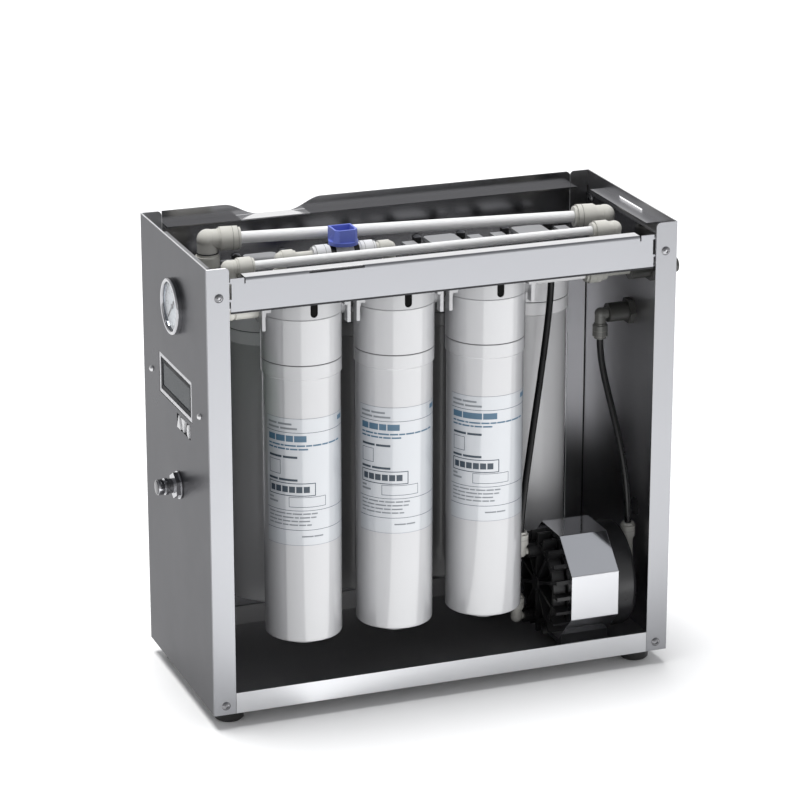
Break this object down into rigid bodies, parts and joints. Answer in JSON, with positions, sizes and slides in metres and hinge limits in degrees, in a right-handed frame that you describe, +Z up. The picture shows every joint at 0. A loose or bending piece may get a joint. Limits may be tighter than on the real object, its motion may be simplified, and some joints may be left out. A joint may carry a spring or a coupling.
{
  "type": "reverse osmosis water purifier",
  "caption": "Open-front stainless cabinet with twist-in filter cartridges on a head bracket, booster pump, push-fit tubing, shut-off valve, gauge, display keys and needle valve.",
  "frame": {"origin": "centre of the footprint, on the plane the rubber feet stand on", "axes": "+X to the viewer's right along the cabinet's width, +Y towards the back, +Z up"},
  "size_m": [0.571, 0.237, 0.5035],
  "materials": {
    "mirror_steel": "mirror polished",
    "brushed_panel": "fine brushed",
    "bracket_steel": "satin",
    "screw_steel": "polished",
    "rubber": "matte",
    "gauge_black": "satin",
    "bezel_chrome": "polished",
    "dial_white": "satin",
    "clear_glass": "clear",
    "frame_grey": "satin",
    "mask_dark": "satin",
    "lcd_grey": "gloss",
    "board_green": "satin",
    "key_white": "satin",
    "valve_steel": "polished",
    "head_white": "semi-gloss",
    "fitting_black": "satin",
    "cartridge_white": "gloss",
    "valve_white": "semi-gloss",
    "handle_blue": "semi-gloss",
    "fitting_grey": "satin",
    "tube_white": "semi-gloss",
    "tube_black": "semi-gloss",
    "bulkhead_dark": "satin",
    "pump_black": "semi-gloss",
    "motor_steel": "satin",
    "lamination": "satin"
  },
  "bodies": {
    "cabinet": {"left_panel": "brushed_panel", "right_panel": "mirror_steel", "back_panel": "mirror_steel", "base_pan": "mirror_steel", "front_rail": "mirror_steel", "head_bracket": "bracket_steel", "cabinet_screws": "screw_steel", "rubber_feet": "rubber", "gauge_case": "gauge_black", "gauge_bezel": "bezel_chrome", "gauge_dial": "dial_white", "gauge_lens": "clear_glass", "display_frame": "frame_grey", "display_mask": "mask_dark", "display_screen": "lcd_grey", "control_board": "board_green", "display_screws": "screw_steel", "needle_valve_body": "valve_steel", "needle_valve_nut": "valve_steel", "prefilter_head_1": "head_white", "prefilter_head_2": "head_white", "prefilter_head_3": "head_white", "membrane_head_1": "head_white", "membrane_head_2": "head_white", "membrane_head_3": "head_white", "membrane_head_4": "head_white", "head_screws": "screw_steel", "head_spacers": "fitting_black", "port_nipples": "fitting_black", "valve_body": "valve_white", "valve_fittings": "fitting_grey", "large_tubes": "tube_white", "large_elbows": "fitting_grey", "medium_tubes": "tube_white", "medium_elbows": "fitting_grey", "pressure_switch": "fitting_black", "feed_fittings": "fitting_grey", "bulkheads": "bulkhead_dark", "bulkhead_nuts": "bulkhead_dark", "small_elbows": "fitting_grey", "small_tubes": "tube_black", "pump_head": "pump_black", "motor_shell": "motor_steel", "motor_stator": "lamination", "end_bell": "pump_black", "pump_base": "pump_black"},
    "gauge_pointer": {"gauge_pointer": "gauge_black"},
    "key_up": {"key_up": "key_white"},
    "key_down": {"key_down": "key_white"},
    "key_enter": {"key_enter": "key_white"},
    "needle_knob": {"needle_valve_knob": "valve_steel"},
    "valve_handle": {"valve_handle": "handle_blue"},
    "motor_rotor": {"motor_rotor": "lamination"},
    "prefilter_1": {"prefilter_1": "cartridge_white"},
    "prefilter_2": {"prefilter_2": "cartridge_white"},
    "prefilter_3": {"prefilter_3": "cartridge_white"},
    "membrane_1": {"membrane_1": "cartridge_white"},
    "membrane_2": {"membrane_2": "cartridge_white"},
    "membrane_3": {"membrane_3": "cartridge_white"},
    "membrane_4": {"membrane_4": "cartridge_white"}
  },
  "joints": [
    {"name": "gauge_pointer_turn", "type": "hinge", "parent": "cabinet", "child": "gauge_pointer", "pos_m": [-0.26, -0.002, 0.4335], "axis": [1, 0, 0], "range_deg": [0, 270], "stiffness_Nm_per_rad": 0.02},
    {"name": "key_up_press", "type": "slide", "parent": "cabinet", "child": "key_up", "axis": [1, 0, 0], "range_m": [0, 0.0012], "stiffness_N_per_m": 800},
    {"name": "key_down_press", "type": "slide", "parent": "cabinet", "child": "key_down", "axis": [1, 0, 0], "range_m": [0, 0.0012], "stiffness_N_per_m": 800},
    {"name": "key_enter_press", "type": "slide", "parent": "cabinet", "child": "key_enter", "axis": [1, 0, 0], "range_m": [0, 0.0012], "stiffness_N_per_m": 800},
    {"name": "needle_knob_turn", "type": "hinge", "parent": "cabinet", "child": "needle_knob", "pos_m": [-0.26, -0.006, 0.2375], "axis": [-1, 0, 0], "range_deg": [0, 720]},
    {"name": "valve_handle_turn", "type": "hinge", "parent": "cabinet", "child": "valve_handle", "pos_m": [-0.072, 0.002, 0.472], "axis": [0, 0, 1], "range_deg": [0, 90]},
    {"name": "prefilter_1_turn", "type": "hinge", "parent": "cabinet", "child": "prefilter_1", "pos_m": [-0.142, -0.062, 0.0705], "axis": [0, 0, 1], "range_deg": [0, 90]},
    {"name": "prefilter_2_turn", "type": "hinge", "parent": "cabinet", "child": "prefilter_2", "pos_m": [-0.039, -0.062, 0.0705], "axis": [0, 0, 1], "range_deg": [0, 90]},
    {"name": "prefilter_3_turn", "type": "hinge", "parent": "cabinet", "child": "prefilter_3", "pos_m": [0.064, -0.062, 0.0705], "axis": [0, 0, 1], "range_deg": [0, 90]},
    {"name": "membrane_1_turn", "type": "hinge", "parent": "cabinet", "child": "membrane_1", "pos_m": [-0.142, 0.062, 0.0705], "axis": [0, 0, 1], "range_deg": [0, 90]},
    {"name": "membrane_2_turn", "type": "hinge", "parent": "cabinet", "child": "membrane_2", "pos_m": [-0.039, 0.062, 0.0705], "axis": [0, 0, 1], "range_deg": [0, 90]},
    {"name": "membrane_3_turn", "type": "hinge", "parent": "cabinet", "child": "membrane_3", "pos_m": [0.064, 0.062, 0.0705], "axis": [0, 0, 1], "range_deg": [0, 90]},
    {"name": "membrane_4_turn", "type": "hinge", "parent": "cabinet", "child": "membrane_4", "pos_m": [0.167, 0.062, 0.0705], "axis": [0, 0, 1], "range_deg": [0, 90]},
    {"name": "motor_spin", "type": "hinge", "parent": "cabinet", "child": "motor_rotor", "pos_m": [0.177, -0.0463, 0.087], "axis": [1, 0, 0], "continuous": true}
  ]
}
